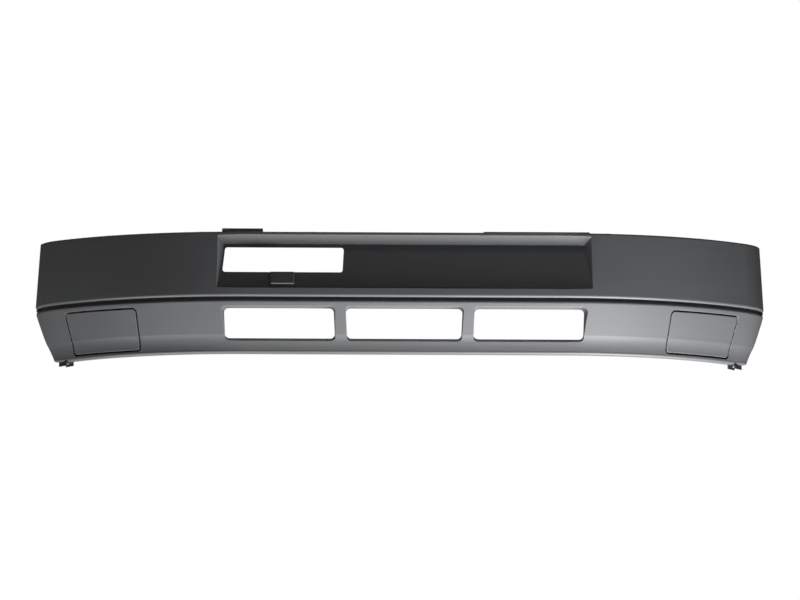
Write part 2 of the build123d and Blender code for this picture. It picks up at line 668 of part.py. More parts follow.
with BuildPart() as bracket_nuts:
    with BuildSketch(rear_plane(PLATE_BACK)):
        for x in BRACKET_BOLTS_X:
            with Locations((x, BRACKET_BOLT_RISE)):
                hexagon(BRACKET_BOLT_FLATS)
                Circle(BRACKET_BOLT_RADIUS + FIT, mode=Mode.SUBTRACT)
    extrude(amount=-BRACKET_NUT_THICK)
bracket_nuts.part.label = "bracket_nuts"
export_step(bracket_nuts.part, "parts/bracket_nuts.step")

# ---------------------------------------------------------------- seam screws and their nuts
FLANGE_PAIR_TOP = WALL         # top of the upper flange above the joint face

with BuildPart() as seam_screws:
    for frame in seam_frames():
        with BuildSketch(frame.offset(-WALL)):
            Circle(SCREW_HEAD)
        extrude(amount=-SCREW_HEAD_HIGH)
        with BuildSketch(frame.offset(-WALL)):
            Circle(SCREW_RADIUS)
        extrude(amount=SEAM_SCREW_LENGTH)
seam_screws.part.label = "seam_screws"
export_step(seam_screws.part, "parts/seam_screws.step")

with BuildPart() as seam_spring_nuts:
    for frame in seam_frames():
        with BuildSketch(frame.offset(FLANGE_PAIR_TOP)):
            RectangleRounded(SPRING_NUT_WIDTH, SPRING_NUT_WIDTH, 1.5)
            Circle(SCREW_RADIUS + FIT, mode=Mode.SUBTRACT)
        extrude(amount=SPRING_NUT_SHEET)
        with BuildSketch(frame.offset(FLANGE_PAIR_TOP + SPRING_NUT_SHEET)):
            Circle(SPRING_NUT_HUB)
            Circle(SCREW_RADIUS + FIT, mode=Mode.SUBTRACT)
        extrude(amount=SPRING_NUT_HIGH)
seam_spring_nuts.part.label = "seam_spring_nuts"
export_step(seam_spring_nuts.part, "parts/seam_spring_nuts.step")

# ---------------------------------------------------------------- clip nuts on the top flange
CLIP_NUT_NOSE = -6.0
CLIP_NUT_WIDTH = 14.0
CLIP_NUT_LEG = WALL + FIT + SPRING_NUT_SHEET
CLIP_NUT_HUB_HIGH = 2.0

with BuildPart() as top_clip_nuts:
    edge = FLANGE_DEPTH - SCREW_INSET
    for frame in top_frames():
        side_plane = Plane(frame.origin, x_dir=frame.y_dir, z_dir=frame.x_dir)
        with BuildSketch(side_plane):
            Polygon((CLIP_NUT_NOSE, 0), (CLIP_NUT_NOSE, SPRING_NUT_SHEET), (edge + 1.4, SPRING_NUT_SHEET),
                    (edge + 1.4, -CLIP_NUT_LEG), (CLIP_NUT_NOSE, -CLIP_NUT_LEG), (CLIP_NUT_NOSE, -WALL - FIT),
                    (edge + 0.2, -WALL - FIT), (edge + 0.2, 0), align=None)
        extrude(amount=CLIP_NUT_WIDTH / 2, both=True)
        with BuildSketch(frame.offset(-CLIP_NUT_LEG)):
            Circle(SPRING_NUT_HUB)
        extrude(amount=-CLIP_NUT_HUB_HIGH)
        with BuildSketch(frame):
            Circle(SCREW_RADIUS + FIT)
        extrude(amount=12, both=True, mode=Mode.SUBTRACT)
top_clip_nuts.part.label = "top_clip_nuts"
export_step(top_clip_nuts.part, "parts/top_clip_nuts.step")

# ---------------------------------------------------------------- end brackets, the feet of the cover
with BuildPart() as end_bracket_right:
    frame = foot_frames()[1]
    with BuildSketch(frame):
        Rectangle(FOOT_LENGTH, FOOT_WIDTH)
        with GridLocations(FOOT_SCREW_PITCH, 0, 2, 1):
            Circle(SCREW_HOLE, mode=Mode.SUBTRACT)
    extrude(amount=-FOOT_SHEET)
    with BuildSketch(frame):
        for side in (-1, 1):
            with Locations((0, side * (FOOT_WIDTH - FOOT_SHEET) / 2)):
                Rectangle(FOOT_LENGTH, FOOT_SHEET)
    extrude(amount=-(WAIST_Z + VALANCE_BOTTOM))
end_bracket_right.part.label = "end_bracket_right"
export_step(end_bracket_right.part, "parts/end_bracket_right.step")

with BuildPart() as end_bracket_left:
    mirror(end_bracket_right.part, about=Plane.YZ)
end_bracket_left.part.label = "end_bracket_left"
export_step(end_bracket_left.part, "parts/end_bracket_left.step")

with BuildPart() as end_bracket_screws:
    for frame in foot_frames():
        with BuildSketch(frame.offset(WALL)):
            with GridLocations(FOOT_SCREW_PITCH, 0, 2, 1):
                Circle(SCREW_HEAD)
        extrude(amount=SCREW_HEAD_HIGH)
        with BuildSketch(frame.offset(WALL)):
            with GridLocations(FOOT_SCREW_PITCH, 0, 2, 1):
                Circle(SCREW_RADIUS)
        extrude(amount=-FOOT_SCREW_LENGTH)
end_bracket_screws.part.label = "end_bracket_screws"
export_step(end_bracket_screws.part, "parts/end_bracket_screws.step")

with BuildPart() as end_bracket_nuts:
    for frame in foot_frames():
        with BuildSketch(frame.offset(-FOOT_SHEET)):
            with GridLocations(FOOT_SCREW_PITCH, 0, 2, 1):
                hexagon(FOOT_NUT_FLATS)
                Circle(SCREW_RADIUS + FIT, mode=Mode.SUBTRACT)
        extrude(amount=-FOOT_NUT_THICK)
end_bracket_nuts.part.label = "end_bracket_nuts"
export_step(end_bracket_nuts.part, "parts/end_bracket_nuts.step")
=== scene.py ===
"""Looks of a moulded front bumper cover on its steel brackets, in metres, in the model's frame.

The moulded shells and pressed steel come from the frame and get their finishes here. The
fasteners are made here as surfaces on a grid: threads, hexagons, chamfers and cross recesses.
"""

import logging
import math
from dataclasses import dataclass, field
from enum import Enum
from typing import Any, Callable, Optional, Sequence, Union

import bpy
import numpy as np
from mathutils import Matrix, Vector

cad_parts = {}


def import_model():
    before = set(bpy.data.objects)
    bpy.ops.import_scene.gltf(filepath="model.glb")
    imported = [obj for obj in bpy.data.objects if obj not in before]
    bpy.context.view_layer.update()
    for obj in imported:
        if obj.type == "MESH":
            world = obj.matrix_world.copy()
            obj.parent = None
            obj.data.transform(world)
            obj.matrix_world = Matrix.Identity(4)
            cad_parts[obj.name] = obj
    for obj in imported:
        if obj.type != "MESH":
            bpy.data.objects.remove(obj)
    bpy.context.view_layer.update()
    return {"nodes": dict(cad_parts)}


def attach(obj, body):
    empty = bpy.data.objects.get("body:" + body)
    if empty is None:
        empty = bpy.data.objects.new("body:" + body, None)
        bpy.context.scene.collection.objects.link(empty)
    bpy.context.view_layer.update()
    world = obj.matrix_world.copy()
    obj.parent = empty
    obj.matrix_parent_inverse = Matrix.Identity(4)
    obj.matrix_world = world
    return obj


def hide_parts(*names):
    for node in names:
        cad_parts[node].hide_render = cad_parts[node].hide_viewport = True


LOG = logging.getLogger("bumper_cover")
Socket = Union[int, str]
Triple = tuple[float, float, float]

BACK: Triple = (0.0, 1.0, 0.0)
FRONT: Triple = (0.0, -1.0, 0.0)
UP: Triple = (0.0, 0.0, 1.0)
DOWN: Triple = (0.0, 0.0, -1.0)


# ---------------------------------------------------------------- units and colour
def mm(length: float) -> float:
    """Millimetres as metres."""
    return length / 1000.0


def linear(colour: str) -> tuple[float, float, float, float]:
    """Turn an sRGB hex colour into linear red, green, blue and alpha.

    Args:
        colour: Six hex digits after a hash sign.

    Returns:
        Linear components, with an alpha of one.
    """
    shares = [int(colour[i:i + 2], 16) / 255.0 for i in (1, 3, 5)]
    red, green, blue = (c / 12.92 if c <= 0.04045 else ((c + 0.055) / 1.055) ** 2.4
                        for c in shares)
    return (red, green, blue, 1.0)


def add_node(tree: bpy.types.NodeTree, kind: str, feeds: Optional[dict[Socket, Any]] = None,
             **settings: Any) -> bpy.types.Node:
    """Add one node, set its properties and feed its sockets.

    Args:
        tree: Node tree that gets the node.
        kind: Blender's type name of the node.
        feeds: Socket name or index, with a constant or an output socket to link.
        **settings: Properties of the node itself.

    Returns:
        The new node.
    """
    node = tree.nodes.new(kind)
    for name, value in settings.items():
        setattr(node, name, value)
    for name, value in (feeds or {}).items():
        if isinstance(value, bpy.types.NodeSocket):
            tree.links.new(value, node.inputs[name])
        else:
            node.inputs[name].default_value = value
    return node


def blank_material(name: str) -> tuple[bpy.types.Material, bpy.types.NodeTree]:
    """Make an empty node material.

    Args:
        name: Name of the material.

    Returns:
        The material and its cleared node tree.
    """
    material = bpy.data.materials.new(name)
    material.use_nodes = True
    material.node_tree.nodes.clear()
    return material, material.node_tree


# ---------------------------------------------------------------- finishes
@dataclass(frozen=True)
class MouldedPolypropylene:
    """Unpainted black polypropylene, injection moulded against a finely etched tool.

    The etched grain breaks up the gloss into a soft satin sheen. The melt leaves faint
    lengthwise flow bands, and the rounded edges get a painted highlight, a lighter colour mixed
    in.
    """

    name: str = "polypropylene_moulded_fine_grain"
    colour: str = "#454648"
    flow_colour: str = "#4b4c4e"
    # painted highlight: lighter colour given to the rounded edges
    edge_colour: str = "#77787a"
    ior: float = 1.49
    roughness: float = 0.55
    glossier: float = 0.05          # how far the roughness falls between two flow bands
    duller: float = 0.06            # and how far it rises in a band
    grain_mm: float = 1.1           # etched at about 0.4 mm, drawn coarser so that it shows
    grain_deep_mm: float = 0.05
    grain_strength: float = 0.35
    flow_mm: float = 260.0          # length of a flow band
    flow_flatness: float = 9.0      # its length over its height
    edge_mm: float = 2.4            # radius of the moulded edges
    edge_starts: float = 0.995      # cosine between face and rounded edge where the painted highlight starts
    edge_full: float = 0.75         # and where it is full
    painted_highlight_share: float = 0.6         # share of the lighter edge colour in the full painted highlight

    def build(self) -> bpy.types.Material:
        """Make the material.

        Returns:
            The new material.
        """
        material, tree = blank_material(self.name)
        place = add_node(tree, "ShaderNodeTexCoord").outputs["Object"]
        edges = add_node(tree, "ShaderNodeBevel", {"Radius": mm(self.edge_mm)}, samples=8)
        face = add_node(tree, "ShaderNodeNewGeometry").outputs["Normal"]
        turned = add_node(tree, "ShaderNodeVectorMath", {0: edges.outputs["Normal"], 1: face},
                          operation="DOT_PRODUCT").outputs["Value"]
        # mask of the painted highlight along the rounded edges, from the bevel normal
        on_edge = add_node(tree, "ShaderNodeMapRange", {
            "Value": turned, "From Min": self.edge_starts, "From Max": self.edge_full,
            "To Min": 0.0, "To Max": self.painted_highlight_share})
        stretched = add_node(tree, "ShaderNodeMapping", {
            "Vector": place, "Scale": (1.0, 1.0, self.flow_flatness)})
        flow = add_node(tree, "ShaderNodeTexNoise", {
            "Vector": stretched.outputs["Vector"], "Scale": 1.0 / mm(self.flow_mm),
            "Detail": 4.0})
        tint = add_node(tree, "ShaderNodeMix", {
            0: flow.outputs["Fac"], 6: linear(self.colour), 7: linear(self.flow_colour)},
            data_type="RGBA")
        # painted highlight: the tint is mixed towards the lighter edge colour on the rims
        painted_rim_highlight = add_node(tree, "ShaderNodeMix", {
            0: on_edge.outputs["Result"], 6: tint.outputs[2], 7: linear(self.edge_colour)},
            data_type="RGBA")
        grain = add_node(tree, "ShaderNodeTexVoronoi", {
            "Vector": place, "Scale": 1.0 / mm(self.grain_mm)})
        fine = add_node(tree, "ShaderNodeTexNoise", {
            "Vector": place, "Scale": 2.0 / mm(self.grain_mm), "Detail": 3.0})
        height = add_node(tree, "ShaderNodeMath", {
            0: grain.outputs["Distance"], 1: fine.outputs["Fac"]}, operation="ADD")
        bump = add_node(tree, "ShaderNodeBump", {
            "Height": height.outputs["Value"], "Strength": self.grain_strength,
            "Distance": mm(self.grain_deep_mm), "Normal": edges.outputs["Normal"]})
        gloss = add_node(tree, "ShaderNodeMapRange", {
            "Value": flow.outputs["Fac"], "To Min": self.roughness - self.glossier,
            "To Max": self.roughness + self.duller})
        shader = add_node(tree, "ShaderNodeBsdfPrincipled", {
            "Base Color": painted_rim_highlight.outputs[2], "Roughness": gloss.outputs["Result"],
            "IOR": self.ior, "Normal": bump.outputs["Normal"]})
        add_node(tree, "ShaderNodeOutputMaterial", {"Surface": shader.outputs["BSDF"]})
        return material


@dataclass(frozen=True)
class CoatedSteel:
    """Pressed mild steel under a black electrophoretic dip coat.

    The thin coat follows the rolled sheet, so it is satin with a faint orange peel, and it
    thins on the cut edges, where the grey steel shows through.
    """

    name: str = "mild_steel_pressed_black_dip_coat"
    colour: str = "#1d1e20"
    edge_colour: str = "#5a5b5c"
    roughness: float = 0.42
    coat_weight: float = 0.3
    coat_roughness: float = 0.25
    peel_mm: float = 2.2            # size of the orange peel's dimples
    peel_deep_mm: float = 0.08
    peel_strength: float = 0.3
    chip_mm: float = 9.0            # size of the thin patches along an edge
    chip_starts: float = 0.5        # noise level where a patch starts to show steel
    chip_full: float = 0.62         # and where it is bare
    edge_mm: float = 0.8            # radius of the pressed edges
    edge_starts: float = 0.98       # cosine between face and rounded edge where an edge starts
    edge_full: float = 0.8          # and where it is full

    def build(self) -> bpy.types.Material:
        """Make the material.

        Returns:
            The new material.
        """
        material, tree = blank_material(self.name)
        place = add_node(tree, "ShaderNodeTexCoord").outputs["Object"]
        edges = add_node(tree, "ShaderNodeBevel", {"Radius": mm(self.edge_mm)}, samples=6)
        face = add_node(tree, "ShaderNodeNewGeometry").outputs["Normal"]
        turned = add_node(tree, "ShaderNodeVectorMath", {0: edges.outputs["Normal"], 1: face},
                          operation="DOT_PRODUCT").outputs["Value"]
        on_edge = add_node(tree, "ShaderNodeMapRange", {
            "Value": turned, "From Min": self.edge_starts, "From Max": self.edge_full})
        patches = add_node(tree, "ShaderNodeTexNoise", {
            "Vector": place, "Scale": 1.0 / mm(self.chip_mm), "Detail": 5.0})
        chips = add_node(tree, "ShaderNodeMapRange", {
            "Value": patches.outputs["Fac"], "From Min": self.chip_starts,
            "From Max": self.chip_full})
        bare = add_node(tree, "ShaderNodeMath", {
            0: on_edge.outputs["Result"], 1: chips.outputs["Result"]}, operation="MULTIPLY")
        tint = add_node(tree, "ShaderNodeMix", {
            0: bare.outputs["Value"], 6: linear(self.colour), 7: linear(self.edge_colour)},
            data_type="RGBA")
        peel = add_node(tree, "ShaderNodeTexNoise", {
            "Vector": place, "Scale": 1.0 / mm(self.peel_mm), "Detail": 2.0})
        bump = add_node(tree, "ShaderNodeBump", {
            "Height": peel.outputs["Fac"], "Strength": self.peel_strength,
            "Distance": mm(self.peel_deep_mm), "Normal": edges.outputs["Normal"]})
        shader = add_node(tree, "ShaderNodeBsdfPrincipled", {
            "Base Color": tint.outputs[2], "Roughness": self.roughness,
            "Coat Weight": self.coat_weight, "Coat Roughness": self.coat_roughness,
            "Normal": bump.outputs["Normal"]})
        add_node(tree, "ShaderNodeOutputMaterial", {"Surface": shader.outputs["BSDF"]})
        return material


@dataclass(frozen=True)
class PlatedMetal:
    """Small metal hardware with a thin plating or a bare machined face.

    The plating is crystalline at small scale, so it scatters a soft, slightly mottled gleam.
    """

    name: str
    colour: str
    dull_colour: str
    roughness: float = 0.34
    glossier: float = 0.08          # how far the roughness falls in a bright patch
    duller: float = 0.14            # and how far it rises in a dull one
    mottle_mm: float = 1.4          # size of a patch; the crystals are finer than can show
    mottle_deep_mm: float = 0.03
    mottle_strength: float = 0.2

    def build(self) -> bpy.types.Material:
        """Make the material.

        Returns:
            The new material.
        """
        material, tree = blank_material(self.name)
        place = add_node(tree, "ShaderNodeTexCoord").outputs["Object"]
        mottle = add_node(tree, "ShaderNodeTexNoise", {
            "Vector": place, "Scale": 1.0 / mm(self.mottle_mm), "Detail": 4.0})
        tint = add_node(tree, "ShaderNodeMix", {
            0: mottle.outputs["Fac"], 6: linear(self.colour), 7: linear(self.dull_colour)},
            data_type="RGBA")
        gloss = add_node(tree, "ShaderNodeMapRange", {
            "Value": mottle.outputs["Fac"], "To Min": self.roughness - self.glossier,
            "To Max": self.roughness + self.duller})
        bump = add_node(tree, "ShaderNodeBump", {
            "Height": mottle.outputs["Fac"], "Strength": self.mottle_strength,
            "Distance": mm(self.mottle_deep_mm)})
        shader = add_node(tree, "ShaderNodeBsdfPrincipled", {
            "Base Color": tint.outputs[2], "Metallic": 1.0,
            "Roughness": gloss.outputs["Result"], "Normal": bump.outputs["Normal"]})
        add_node(tree, "ShaderNodeOutputMaterial", {"Surface": shader.outputs["BSDF"]})
        return material


class Finish(Enum):
    """The finishes of the bumper cover."""

    PLASTIC = MouldedPolypropylene()
    COATED = CoatedSteel()
    ZINC = PlatedMetal("carbon_steel_zinc_plated", "#b9bcbd", "#8f9396")
    SPRING = PlatedMetal("spring_steel_phosphated", "#55585c", "#3a3c40", roughness=0.45)
    BRASS = PlatedMetal("brass_machined", "#c9a55b", "#a07f3d", roughness=0.28)

    def material(self) -> bpy.types.Material:
        """The finish's material, made the first time it is asked for."""
        found = bpy.data.materials.get(self.value.name)
        return found or self.value.build()


def dress(node: bpy.types.Object, finish: Finish) -> None:
    """Give every face of an object one finish.

    Args:
        node: Mesh object to dress.
        finish: Finish that it gets.
    """
    node.data.materials.clear()
    node.data.materials.append(finish.material())


# ---------------------------------------------------------------- turned surfaces
@dataclass(frozen=True)
class Seat:
    """Where a fastener sits: the point under its head and the way its axis points."""

    origin: Triple
    axis: Triple

    def matrix(self) -> np.ndarray:
        """Turn that carries +Z onto the axis, as a 3 by 3 array."""
        turn = Vector(UP).rotation_difference(Vector(self.axis))
        return np.array(turn.to_matrix())


@dataclass
class Surface:
    """Points and faces that are being gathered into one mesh."""

    smooth_degrees: float = 32.0    # edges that turn more than this stay sharp
    points: list[np.ndarray] = field(default_factory=list)
    quads: list[np.ndarray] = field(default_factory=list)
    count: int = 0

    def add_turned(self, radius: Callable[[np.ndarray, np.ndarray], np.ndarray],
                   heights: np.ndarray, seat: Seat, sides: int) -> None:
        """Add a body turned about an axis, whose radius depends on angle and station.

        A point stands at radius(angle, station) from the axis, at the height of its station.
        The body is closed when its first and last stations either have no radius or coincide.

        Args:
            radius: Radius in metres from angle and station, both as grids.
            heights: Height of each station along the axis, in metres.
            seat: Place and direction of the axis.
            sides: Number of points round the axis.
        """
        angle = np.linspace(0.0, 2.0 * math.pi, sides, endpoint=False)
        angles, stations = np.meshgrid(angle, np.arange(len(heights)))
        reach = radius(angles, stations)
        levels = np.broadcast_to(heights[:, None], reach.shape)
        local = np.stack([reach * np.cos(angles), reach * np.sin(angles), levels], axis=-1)
        placed = local.reshape(-1, 3) @ seat.matrix().T + np.array(seat.origin)
        index = np.arange(len(heights) * sides).reshape(len(heights), sides)
        ahead = np.roll(index, -1, axis=1)
        quads = np.stack([index[:-1], ahead[:-1], ahead[1:], index[1:]], axis=-1)
        self.points.append(placed)
        self.quads.append(quads.reshape(-1, 4) + self.count)
        self.count += len(placed)

    def piece(self, name: str, finish: Finish) -> bpy.types.Object:
        """Make the gathered surface an object at the origin.

        Args:
            name: Name of the piece.
            finish: Its finish.

        Returns:
            The new object, linked to the scene.
        """
        mesh = bpy.data.meshes.new(name)
        points, quads = np.concatenate(self.points), np.concatenate(self.quads)
        mesh.from_pydata(points.tolist(), [], quads.tolist())
        mesh.validate()
        mesh.shade_smooth()
        mesh.set_sharp_from_angle(angle=math.radians(self.smooth_degrees))
        made = bpy.data.objects.new(name, mesh)
        bpy.context.scene.collection.objects.link(made)
        dress(made, finish)
        return made


def hexagon_radius(angles: np.ndarray, across_flats: float) -> np.ndarray:
    """Radius of a hexagon: half its width over the cosine of the angle off the nearest flat."""
    off_flat = (angles + math.pi / 6) % (math.pi / 3) - math.pi / 6
    return across_flats / 2 / np.cos(off_flat)


@dataclass(frozen=True)
class Thread:
    """A screw thread drawn on a turned shank, in metres."""

    radius: float
    pitch: float
    depth: float

    def reach(self, angles: np.ndarray, heights: np.ndarray) -> np.ndarray:
        """Radius of the thread: the outer radius less a triangle wave of height minus turn."""
        phase = (heights / self.pitch - angles / (2 * math.pi)) % 1.0
        return self.radius - self.depth * np.abs(2.0 * phase - 1.0)


# ---------------------------------------------------------------- fasteners
# Rings of the two kinds of head, from the seat to the middle of the top. Each row holds the
# height over the head's height and the radius over half the head's width.
HEXAGON_RINGS = ((0.0, 0.975), (0.0, 1.0), (0.06, 1.16), (0.35, 1.16), (0.8, 1.06),
                 (0.9, 0.95), (1.0, 0.62), (1.0, 0.55), (0.9, 0.0), (0.9, 0.0))
RIM_RINGS = ((0.0, 0.98), (0.0, 1.0))
RECESS_RINGS = ((1.0, 0.425), (0.98, 0.275), (0.25, 0.0), (0.2, 0.0))


class Drive(Enum):
    """How a screw head takes its driver."""

    HEXAGON = "hexagon"
    CROSS = "cross"


@dataclass(frozen=True)
class ScrewShape:
    """A screw or bolt as one closed surface from its tip to the middle of its head."""

    shank_mm: float                 # radius over the thread
    reach_mm: float                 # length below the head
    head_mm: float                  # width of the head, across flats on a hexagon
    head_high_mm: float
    pitch_mm: float
    drive: Drive
    sides: int = 48                 # points round the axis
    turn_rings: int = 8             # rings in one turn of the thread
    thread_share: float = 0.32      # depth of the thread over its pitch
    tip_share: float = 0.65         # radius of the chamfered tip over the shank's
    neck_share: float = 0.96        # radius of the neck under the head over the shank's
    dome_rings: int = 8             # rings between the rim and the crown of a cross head
    rim_share: float = 0.35         # height of its rim over the head's
    crown_share: float = 0.38       # radius of its flat crown over the head's
    lobe_share: float = 0.42        # how far its recess draws in between two lobes

    def add_to(self, surface: Surface, seat: Seat) -> None:
        """Add the screw to a surface, with its head on the seat and its tip along -axis.

        The shank's radius is the thread formula, drawn in over the first turn as a chamfer. A
        hexagon head is the smaller of the hexagon and a chamfer cone; a cross head is a quarter
        ellipse, with a four-lobed recess sunk in its middle.

        Args:
            surface: Surface that gains the screw.
            seat: Middle of the head's seat, and the way the head points.
        """
        pitch = mm(self.pitch_mm)
        thread = Thread(mm(self.shank_mm), pitch, pitch * self.thread_share)
        steps = int(self.reach_mm / self.pitch_mm * self.turn_rings)
        threaded = np.linspace(-mm(self.reach_mm), 0.0, steps)
        head = self.head_rings()[:, 0] * mm(self.head_high_mm)
        heights = np.concatenate([[threaded[0]], threaded, [0.0], head])
        neck = 1 + len(threaded)

        def reach(angles: np.ndarray, stations: np.ndarray) -> np.ndarray:
            """Radius of the whole screw.

            Args:
                angles: Angle round the axis.
                stations: Number of the ring, counted from the tip.

            Returns:
                Radius in metres.
            """
            level = heights[stations]
            first_turn = np.clip((level - heights[0]) / pitch, 0.0, 1.0)
            chamfer = self.tip_share + (1.0 - self.tip_share) * first_turn
            shank = thread.reach(angles, level) * chamfer
            radius = np.where(stations < neck, shank, mm(self.shank_mm) * self.neck_share)
            radius = np.where(stations == 0, 0.0, radius)
            head_radius = self.head_reach(angles, stations - neck - 1)
            return np.where(stations > neck, head_radius, radius)

        surface.add_turned(reach, heights, seat, self.sides)

    def head_rings(self) -> np.ndarray:
        """Work out the rings of the head, from its seat to the middle of its top.

        The dome of a cross head is a quarter ellipse whose radii run one ring ahead of its
        heights, which flattens it a little.

        Returns:
            Height over the head's height and radius over half its width, a row for each ring.
        """
        if self.drive is Drive.HEXAGON:
            return np.array(HEXAGON_RINGS)
        arc = np.linspace(0.0, math.pi / 2, self.dome_rings + 1)
        height = self.rim_share + (1.0 - self.rim_share) * np.sin(arc[:-1])
        radius = self.crown_share + (1.0 - self.crown_share) * np.cos(arc[1:])
        dome = np.stack([height, radius], axis=-1)
        return np.concatenate([RIM_RINGS, dome, RECESS_RINGS])

    def head_reach(self, angles: np.ndarray, ring: np.ndarray) -> np.ndarray:
        """Radius of the head's rings.

        Args:
            angles: Angle round the axis.
            ring: Number of the head's ring, counted from the seat.

        Returns:
            Radius in metres, nought at the last ring.
        """
        shares = self.head_rings()[:, 1]
        radius = shares[np.clip(ring, 0, len(shares) - 1)] * mm(self.head_mm) / 2
        if self.drive is Drive.HEXAGON:
            return np.minimum(hexagon_radius(angles, mm(self.head_mm)), radius)
        lobes = 1.0 - self.lobe_share * np.sin(2 * angles) ** 2
        return np.where(ring >= len(shares) - len(RECESS_RINGS), radius * lobes, radius)


@dataclass(frozen=True)
class RingShape:
    """A nut, washer or insert: a bored ring whose outside may be round, hexagonal or knurled."""

    bore_mm: float                  # radius of the bore
    wide_mm: float                  # width of the outside, across flats on a hexagon
    high_mm: float
    sides: int = 72                 # points round the axis
    hexagonal: bool = False
    face_share: float = 0.95        # width of a hexagon's round end face over its width
    corner_share: float = 1.16      # just past a hexagon's corners, over half its width
    knurl_mm: float = 0.0           # depth of the knurl
    knurl_teeth: int = 24
    bevel_share: float = 0.12       # bevel over the height
    bevel_most_mm: float = 0.5

    def add_to(self, surface: Surface, seat: Seat) -> None:
        """Add the ring, from its seat up along the axis.

        The section runs up the outside over small bevels and down the bore, and its two ends
        meet. A knurl lowers the outer radius by the square of a sine of angle.

        Args:
            surface: Surface that gains the ring.
            seat: Middle of the ring's lower face, and the way its axis points.
        """
        high, bore, wide = mm(self.high_mm), mm(self.bore_mm), mm(self.wide_mm) / 2
        bevel = min(self.bevel_share * high, mm(self.bevel_most_mm))
        heights = np.array([0.0, 0.0, bevel, high - bevel, high, high, high - bevel, bevel, 0.0])
        section = np.array([bore + bevel, wide - bevel, wide, wide, wide - bevel, bore + bevel,
                            bore, bore, bore + bevel])

        def reach(angles: np.ndarray, stations: np.ndarray) -> np.ndarray:
            """Radius of the whole ring.

            Args:
                angles: Angle round the axis.
                stations: Number of the section's point.

            Returns:
                Radius in metres.
            """
            radius = section[stations]
            end_face = np.isin(stations, (1, 4))        # the outer edges of the two end faces
            flank = np.isin(stations, (2, 3))           # the edges of the outside between them
            if self.hexagonal:
                cone = np.where(end_face, self.face_share, self.corner_share) * wide
                cut = np.minimum(hexagon_radius(angles, 2 * wide), cone)
                radius = np.where(end_face | flank, cut, radius)
            if self.knurl_mm:
                knurl = mm(self.knurl_mm) * np.sin(angles * self.knurl_teeth / 2) ** 2
                radius = np.where(flank, radius - knurl, radius)
            return radius

        surface.add_turned(reach, heights, seat, self.sides)


# ---------------------------------------------------------------- layout
@dataclass(frozen=True)
class Layout:
    """Driving places of the cover, in millimetres, from which the fasteners' seats follow.

    Depths count backwards from the front line and rises upwards from the waist.
    """

    front: float = -172.5
    waist: float = 157.0
    half_straight: float = 434.5    # half of the waist line's straight middle
    sweep_radius: float = 680.0     # the waist line's wide arc
    sweep_degrees: float = 48.0
    corner_radius: float = 190.0    # its tight arc at the end
    boss_x: tuple[float, ...] = (-560.0, -140.0, 140.0, 560.0)
    boss_rise: float = 45.0
    rail_depth: float = 60.0
    rail_sheet: float = 2.5
    bracket_x: float = 430.0
    bracket_bolt_step: float = 20.0
    bracket_bolt_rise: float = 37.0
    bracket_sheet: float = 4.0
    seam_x: tuple[float, ...] = (70.0, 210.0, 350.0)
    seam_degrees: tuple[float, ...] = (14.0, 30.0, 45.0)
    seam_inset: float = 26.0
    wall: float = 3.0
    underside: float = -145.5
    foot_degrees: float = 60.0      # angle of an end bracket round the plan
    foot_inset: float = 65.0        # distance of its screws inside the waist line
    foot_pitch: float = 16.0        # distance between its two screws
    foot_sheet: float = 2.5

    def point(self, x: float, depth: float, rise: float) -> Triple:
        """Place in metres from millimetres across, behind the front and above the waist."""
        return (mm(x), mm(self.front + depth), mm(self.waist + rise))

    def bracket_bolt_x(self) -> list[float]:
        """Place across of each bolt of the two chassis brackets."""
        step = self.bracket_bolt_step
        return [side * self.bracket_x + shift for side in (-1, 1) for shift in (-step, step)]

    def seam_spots(self) -> list[tuple[float, float]]:
        """Work out where the seam screws stand, along the straight middle and both wide arcs.

        Returns:
            Place across and behind the front of each screw, left and right.
        """
        spots = [(side * x, self.seam_inset) for x in self.seam_x for side in (-1, 1)]
        reach = self.sweep_radius - self.seam_inset
        for degrees in self.seam_degrees:
            turn = math.radians(degrees)
            across = self.half_straight + reach * math.sin(turn)
            depth = self.sweep_radius - reach * math.cos(turn)
            spots += [(side * across, depth) for side in (-1, 1)]
        return spots

    def foot_spots(self) -> list[tuple[float, float]]:
        """Work out where the end bracket screws stand, on both tight arcs.

        Returns:
            Place across and behind the front of each screw, left and right.
        """
        turn, start = math.radians(self.foot_degrees), math.radians(self.sweep_degrees)
        offset = self.sweep_radius - self.corner_radius
        reach = self.corner_radius - self.foot_inset
        x = self.half_straight + offset * math.sin(start) + reach * math.sin(turn)
        depth = self.sweep_radius - offset * math.cos(start) - reach * math.cos(turn)
        spots = []
        for step in (-self.foot_pitch / 2, self.foot_pitch / 2):
            across, behind = x + step * math.cos(turn), depth + step * math.sin(turn)
            spots += [(side * across, behind) for side in (-1, 1)]
        return spots


# ---------------------------------------------------------------- sub-assemblies
@dataclass
class MouldedShells:
    """The band, the valance and the two blanking covers, all in the same grained plastic."""

    nodes: tuple[str, ...] = ("upper_cover", "lower_valance", "fog_cover_left",
                              "fog_cover_right")

    def build(self, parts: dict[str, bpy.types.Object]) -> None:
        """Dress the moulded shells.

        Args:
            parts: The frame's nodes by name.
        """
        for name in self.nodes:
            dress(parts[name], Finish.PLASTIC)
            LOG.info("dressed %s", name)


@dataclass
class PressedSteel:
    """The stiffener rail, chassis brackets, end brackets, and spring steel clips and nuts."""

    coated: tuple[str, ...] = ("stiffener_rail", "chassis_bracket_left",
                               "chassis_bracket_right", "end_bracket_left",
                               "end_bracket_right")
    sprung: tuple[str, ...] = ("fog_cover_clips_left", "fog_cover_clips_right",
                               "seam_spring_nuts", "top_clip_nuts")

    def build(self, parts: dict[str, bpy.types.Object]) -> None:
        """Dress the pressed parts.

        Args:
            parts: The frame's nodes by name.
        """
        for names, finish in ((self.coated, Finish.COATED), (self.sprung, Finish.SPRING)):
            for name in names:
                dress(parts[name], finish)
                LOG.info("dressed %s", name)


